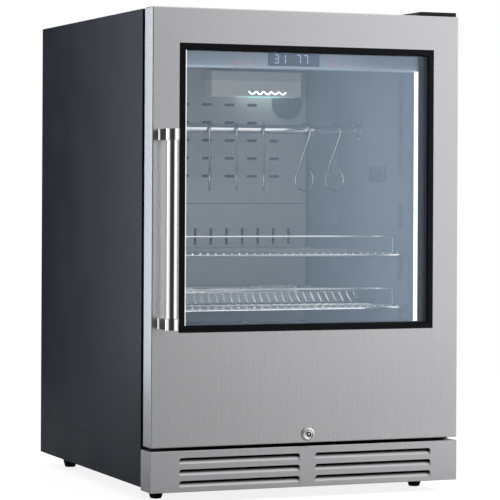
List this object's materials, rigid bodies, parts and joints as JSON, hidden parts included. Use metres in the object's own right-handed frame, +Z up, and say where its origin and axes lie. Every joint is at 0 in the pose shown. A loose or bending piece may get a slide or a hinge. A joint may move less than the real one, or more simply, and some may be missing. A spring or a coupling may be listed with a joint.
{
  "type": "dry aging cabinet",
  "caption": "Under-counter cooled cabinet for dry aging meat, with a hinged glass door, bar handle, key lock, hanging rod with hooks, wire shelves, pan and louvred toe grille.",
  "frame": {"origin": "on the floor under the middle of the cabinet's overall box, handle included", "axes": "+X to the right as one faces the door, +Y from the door towards the back, +Z up"},
  "size_m": [0.595, 0.702, 0.8748],
  "materials": {
    "stainless": "brushed",
    "polished_stainless": "polished",
    "shelf_wire": "bright drawn wire",
    "charcoal_sheet": "satin",
    "galvanised_sheet": "matt zinc",
    "spacer_aluminium": "mill",
    "black_frame": "satin",
    "black_plastic": "satin",
    "display_black": "gloss",
    "liner_grey": "satin",
    "cover_grey": "satin",
    "fascia_grey": "satin",
    "lamp_sheet": "satin",
    "light_diffuser": "lit from inside",
    "foam": "foam",
    "gasket_rubber": "matt",
    "pane_glass": "clear, tinted",
    "machine_black": "gloss enamel",
    "copper_tube": "drawn tube"
  },
  "bodies": {
    "cabinet": {"back_panel": "galvanised_sheet", "base_pan": "charcoal_sheet", "bottom_hinge_bracket": "black_frame", "carbon_filter": "black_plastic", "compressor": "machine_black", "condenser": "machine_black", "condenser_fan_frame": "black_plastic", "control_fascia": "fascia_grey", "display_window": "display_black", "evaporation_pan": "black_plastic", "evaporator": "copper_tube", "evaporator_fan_frame": "black_plastic", "floor_dish": "polished_stainless", "front_frame": "black_frame", "hanging_rod": "polished_stainless", "humidity_sensor": "fascia_grey", "insulation": "foam", "lamp_housing": "lamp_sheet", "lamp_tube": "light_diffuser", "light_bar_left": "light_diffuser", "light_bar_right": "light_diffuser", "liner": "liner_grey", "power_inlet": "black_plastic", "rear_cover_lower": "cover_grey", "rear_cover_upper": "cover_grey", "rear_service_cover": "galvanised_sheet", "rod_socket_left": "polished_stainless", "rod_socket_right": "polished_stainless", "side_panel_left": "charcoal_sheet", "side_panel_right": "charcoal_sheet", "toe_grille": "stainless", "top_hinge_bracket": "black_frame", "top_hinge_cover": "black_plastic", "top_panel": "charcoal_sheet"},
    "door": {"door_skin": "stainless", "door_core": "fascia_grey", "window_trim": "black_plastic", "glass_outer": "pane_glass", "glass_inner": "pane_glass", "glass_spacer": "spacer_aluminium", "gasket": "gasket_rubber", "handle_bar": "polished_stainless", "handle_post_low": "polished_stainless", "handle_post_top": "polished_stainless", "lock_body": "polished_stainless"},
    "lock_plug": {"lock_plug": "polished_stainless"},
    "shelf_lower": {"shelf_lower": "shelf_wire", "stainless_pan": "polished_stainless"},
    "shelf_upper": {"shelf_upper": "shelf_wire"},
    "condenser_fan": {"condenser_fan_rotor": "black_plastic"},
    "evaporator_fan": {"evaporator_fan_rotor": "black_plastic"},
    "meat_hook_1": {"meat_hook_1": "polished_stainless"},
    "meat_hook_2": {"meat_hook_2": "polished_stainless"},
    "meat_hook_3": {"meat_hook_3": "polished_stainless"},
    "meat_hook_4": {"meat_hook_4": "polished_stainless"},
    "meat_hook_5": {"meat_hook_5": "polished_stainless"},
    "foot_front_left": {"foot_front_left": "black_plastic"},
    "foot_front_right": {"foot_front_right": "black_plastic"},
    "foot_rear_left": {"foot_rear_left": "black_plastic"},
    "foot_rear_right": {"foot_rear_right": "black_plastic"}
  },
  "joints": [
    {"name": "door_hinge", "type": "hinge", "parent": "cabinet", "child": "door", "pos_m": [0.28, -0.27855, 0.0982], "axis": [0, 0, 1], "range_deg": [0, 110]},
    {"name": "lock_turn", "type": "hinge", "parent": "door", "child": "lock_plug", "pos_m": [0, -0.25605, 0.1138], "axis": [0, -1, 0], "range_deg": [0, 90]},
    {"name": "shelf_lower_slide", "type": "slide", "parent": "cabinet", "child": "shelf_lower", "axis": [0, -1, 0], "range_m": [0, 0.055]},
    {"name": "shelf_upper_slide", "type": "slide", "parent": "cabinet", "child": "shelf_upper", "axis": [0, -1, 0], "range_m": [0, 0.055]},
    {"name": "meat_hook_1_swing", "type": "hinge", "parent": "cabinet", "child": "meat_hook_1", "pos_m": [-0.0669, 0.02115, 0.6652], "axis": [1, 0, 0], "range_deg": [-60, 60]},
    {"name": "meat_hook_2_swing", "type": "hinge", "parent": "cabinet", "child": "meat_hook_2", "pos_m": [-0.01141, 0.02115, 0.6652], "axis": [1, 0, 0], "range_deg": [-60, 60]},
    {"name": "meat_hook_3_swing", "type": "hinge", "parent": "cabinet", "child": "meat_hook_3", "pos_m": [0.0441, 0.02115, 0.6652], "axis": [1, 0, 0], "range_deg": [-60, 60]},
    {"name": "meat_hook_4_swing", "type": "hinge", "parent": "cabinet", "child": "meat_hook_4", "pos_m": [0.129, 0.02115, 0.6652], "axis": [1, 0, 0], "range_deg": [-60, 60]},
    {"name": "meat_hook_5_swing", "type": "hinge", "parent": "cabinet", "child": "meat_hook_5", "pos_m": [0.193, 0.02115, 0.6652], "axis": [1, 0, 0], "range_deg": [-60, 60]},
    {"name": "condenser_fan_spin", "type": "hinge", "parent": "cabinet", "child": "condenser_fan", "pos_m": [-0.07, -0.11085, 0.0988], "axis": [0, 1, 0], "continuous": true},
    {"name": "evaporator_fan_spin", "type": "hinge", "parent": "cabinet", "child": "evaporator_fan", "pos_m": [-0.1, 0.28575, 0.7], "axis": [0, 1, 0], "continuous": true},
    {"name": "foot_front_left_screw", "type": "slide", "parent": "cabinet", "child": "foot_front_left", "axis": [0, 0, -1], "range_m": [0, 0.015]},
    {"name": "foot_front_right_screw", "type": "slide", "parent": "cabinet", "child": "foot_front_right", "axis": [0, 0, -1], "range_m": [0, 0.015]},
    {"name": "foot_rear_left_screw", "type": "slide", "parent": "cabinet", "child": "foot_rear_left", "axis": [0, 0, -1], "range_m": [0, 0.015]},
    {"name": "foot_rear_right_screw", "type": "slide", "parent": "cabinet", "child": "foot_rear_right", "axis": [0, 0, -1], "range_m": [0, 0.015]}
  ]
}
